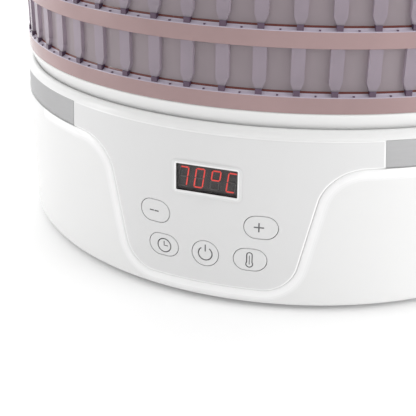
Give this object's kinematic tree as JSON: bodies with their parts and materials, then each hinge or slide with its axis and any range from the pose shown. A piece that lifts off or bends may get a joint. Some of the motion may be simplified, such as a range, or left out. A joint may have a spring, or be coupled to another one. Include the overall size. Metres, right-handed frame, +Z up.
{
  "type": "food dehydrator",
  "caption": "Round food dehydrator: white base with fan, heater and lit control panel, silver band, nesting ribbed trays in smoky clear plastic and a vented lid.",
  "frame": {"origin": "centre of the base's footprint on the table, at the underside of the rubber feet", "axes": "+Z up through the trays, the control panel faces -Y, +X to the right for someone facing the panel"},
  "size_m": [0.3368, 0.3368, 0.275],
  "materials": {
    "white_plastic": "glossy white moulding",
    "panel_plastic": "satin light grey moulding",
    "grey_plastic": "fine matte texture",
    "silver_paint": "satin silver paint on plastic",
    "tinted_plastic": "smoky translucent plastic",
    "smoked_lens": "smoked clear window",
    "led_red": "lit red segments",
    "led_off": "unlit segments",
    "black_plastic": "matte black",
    "circuit_board": "green solder mask",
    "screw_steel": "zinc plated",
    "zinc_steel": "zinc plated sheet",
    "polished_steel": "ground steel",
    "core_steel": "laminated steel",
    "nylon": "natural nylon",
    "copper_wire": "enamelled copper",
    "bronze": "sintered bronze",
    "rubber": "matte rubber",
    "mica": "pressed mica",
    "heating_wire": "coiled resistance wire",
    "coil_tape": "yellow tape",
    "relay_blue": "blue case",
    "capacitor_orange": "dipped orange",
    "capacitor_sleeve": "dark blue sleeve",
    "terminal_green": "green terminal block",
    "silicone_white": "braided sleeve",
    "lead_blue": "wire insulation",
    "lead_grey": "wire insulation"
  },
  "bodies": {
    "base": {"body_shell": "white_plastic", "bottom_plate": "grey_plastic", "case_screws": "screw_steel", "silver_band": "silver_paint", "top_cover": "white_plastic", "air_grille": "grey_plastic", "grille_screws": "screw_steel", "control_panel": "panel_plastic", "display_lens": "smoked_lens", "display_module": "black_plastic", "led_segments_lit": "led_red", "led_segments_off": "led_off", "control_board": "circuit_board", "tact_switches": "black_plastic", "board_screws": "screw_steel", "stator_core": "core_steel", "coil_bobbin": "nylon", "stator_coil": "copper_wire", "lower_bracket": "zinc_steel", "upper_bracket": "zinc_steel", "lower_bush": "bronze", "upper_bush": "bronze", "motor_dampers": "rubber", "motor_screws": "screw_steel", "heat_shield": "zinc_steel", "heater_frame": "mica", "heater_wire": "heating_wire", "thermal_cutout": "zinc_steel", "temperature_sensor": "nylon", "power_board": "circuit_board", "transformer": "coil_tape", "relay": "relay_blue", "film_capacitor": "capacitor_orange", "smoothing_capacitor": "capacitor_sleeve", "terminal_block": "terminal_green", "cord_gland": "white_plastic", "cord_clamp": "nylon", "heater_leads": "silicone_white", "motor_leads": "lead_blue", "display_leads": "lead_grey", "foot_1": "rubber", "foot_2": "rubber", "foot_3": "rubber", "foot_4": "rubber"},
    "fan": {"motor_rotor": "core_steel", "motor_shaft": "polished_steel", "fan_impeller": "grey_plastic", "fan_nut": "bronze"},
    "key_minus": {"key_minus": "panel_plastic"},
    "key_plus": {"key_plus": "panel_plastic"},
    "key_timer": {"key_timer": "panel_plastic"},
    "key_power": {"key_power": "panel_plastic"},
    "key_temperature": {"key_temperature": "panel_plastic"},
    "tray_1": {"tray_1": "tinted_plastic"},
    "tray_2": {"tray_2": "tinted_plastic"},
    "tray_3": {"tray_3": "tinted_plastic"},
    "tray_4": {"tray_4": "tinted_plastic"},
    "tray_5": {"tray_5": "tinted_plastic"},
    "lid": {"lid": "tinted_plastic"}
  },
  "joints": [
    {"name": "fan_spin", "type": "hinge", "parent": "base", "child": "fan", "pos_m": [0, 0, 0.0675], "axis": [0, 0, 1], "continuous": true},
    {"name": "minus_press", "type": "slide", "parent": "base", "child": "key_minus", "axis": [0, 1, 0], "range_m": [0, 0.0006], "stiffness_N_per_m": 400, "springref_m": -0.0006},
    {"name": "plus_press", "type": "slide", "parent": "base", "child": "key_plus", "axis": [0, 1, 0], "range_m": [0, 0.0006], "stiffness_N_per_m": 400, "springref_m": -0.0006},
    {"name": "timer_press", "type": "slide", "parent": "base", "child": "key_timer", "axis": [0, 1, 0], "range_m": [0, 0.0006], "stiffness_N_per_m": 400, "springref_m": -0.0006},
    {"name": "power_press", "type": "slide", "parent": "base", "child": "key_power", "axis": [0, 1, 0], "range_m": [0, 0.0006], "stiffness_N_per_m": 400, "springref_m": -0.0006},
    {"name": "temperature_press", "type": "slide", "parent": "base", "child": "key_temperature", "axis": [0, 1, 0], "range_m": [0, 0.0006], "stiffness_N_per_m": 400, "springref_m": -0.0006},
    {"name": "tray_1_lift", "type": "slide", "parent": "base", "child": "tray_1", "axis": [0, 0, 1], "range_m": [0, 0.06]},
    {"name": "tray_2_lift", "type": "slide", "parent": "tray_1", "child": "tray_2", "axis": [0, 0, 1], "range_m": [0, 0.06]},
    {"name": "tray_3_lift", "type": "slide", "parent": "tray_2", "child": "tray_3", "axis": [0, 0, 1], "range_m": [0, 0.06]},
    {"name": "tray_4_lift", "type": "slide", "parent": "tray_3", "child": "tray_4", "axis": [0, 0, 1], "range_m": [0, 0.06]},
    {"name": "tray_5_lift", "type": "slide", "parent": "tray_4", "child": "tray_5", "axis": [0, 0, 1], "range_m": [0, 0.06]},
    {"name": "lid_lift", "type": "slide", "parent": "tray_5", "child": "lid", "axis": [0, 0, 1], "range_m": [0, 0.08]}
  ]
}
